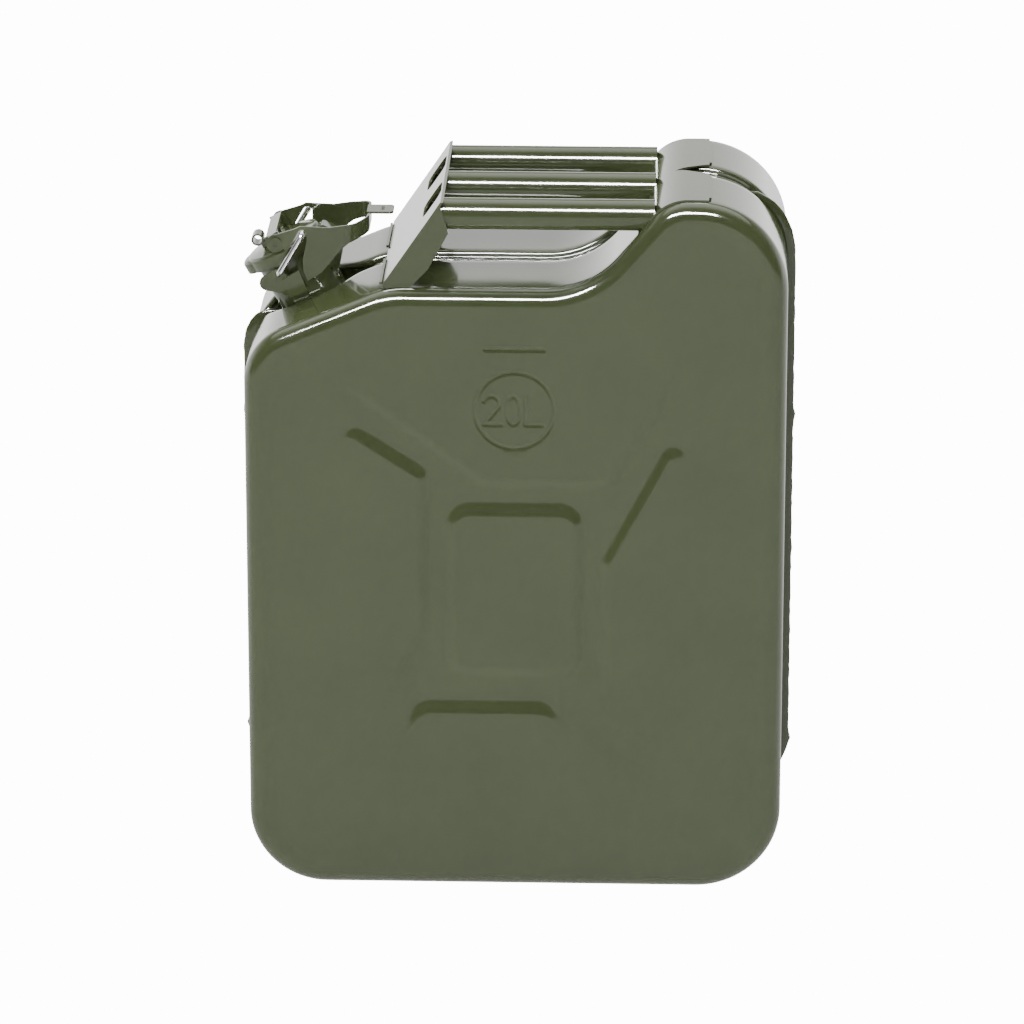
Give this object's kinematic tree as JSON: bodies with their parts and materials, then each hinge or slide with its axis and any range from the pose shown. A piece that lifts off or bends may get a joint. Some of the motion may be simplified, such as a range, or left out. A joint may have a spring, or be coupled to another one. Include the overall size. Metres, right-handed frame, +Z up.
{
  "type": "steel fuel can",
  "caption": "Upright pressed-steel fuel can with parallel carrying bars, a tilted neck and a hinged lid locked by a notched lever and wire links.",
  "frame": {"origin": "middle of the resting surface, under the can", "axes": "+X from the spout towards the hump, +Y through the thickness, +Z up"},
  "size_m": [0.357, 0.165, 0.4642],
  "materials": {
    "olive_paint": "gloss",
    "bright_wire": "bright plated",
    "bare_steel": "satin",
    "gasket_rubber": "matt"
  },
  "bodies": {
    "can": {"front_shell": "olive_paint", "rear_shell": "olive_paint", "seam_flange": "olive_paint", "neck_tube": "olive_paint", "neck_weld": "olive_paint", "lug_near": "olive_paint", "lug_far": "olive_paint", "hinge_bracket": "olive_paint", "hinge_pin": "olive_paint", "breather_tube": "bare_steel", "breather_clip": "bare_steel", "handle_front_plate": "olive_paint", "handle_rear_plate": "olive_paint", "handle_bar_near": "olive_paint", "handle_bar_middle": "olive_paint", "handle_bar_far": "olive_paint", "handle_welds": "olive_paint"},
    "lid": {"lid_cap": "olive_paint", "lid_bridge": "olive_paint", "lid_gasket": "gasket_rubber", "gasket_retainer": "bare_steel", "lid_rivet": "olive_paint", "lever_rivet_near": "olive_paint", "lever_rivet_far": "olive_paint"},
    "lever": {"lever": "olive_paint"},
    "bail": {"bail_near": "bright_wire", "bail_far": "bright_wire"}
  },
  "joints": [
    {"name": "lid_hinge", "type": "hinge", "parent": "can", "child": "lid", "pos_m": [-0.117, 0, 0.417], "axis": [0, 1, 0], "range_deg": [0, 95]},
    {"name": "lever_pivot", "type": "hinge", "parent": "lid", "child": "lever", "pos_m": [-0.1547, 0, 0.4199], "axis": [0, 1, 0], "range_deg": [-119, 0]},
    {"name": "bail_swing", "type": "hinge", "parent": "can", "child": "bail", "pos_m": [-0.153, 0, 0.3996], "axis": [0, 1, 0], "range_deg": [-29, 0]}
  ],
  "couplings": [
    {"joint": "lever_pivot", "follows": "lid_hinge", "ratio": -1.25},
    {"joint": "bail_swing", "follows": "lid_hinge", "ratio": -0.3}
  ]
}
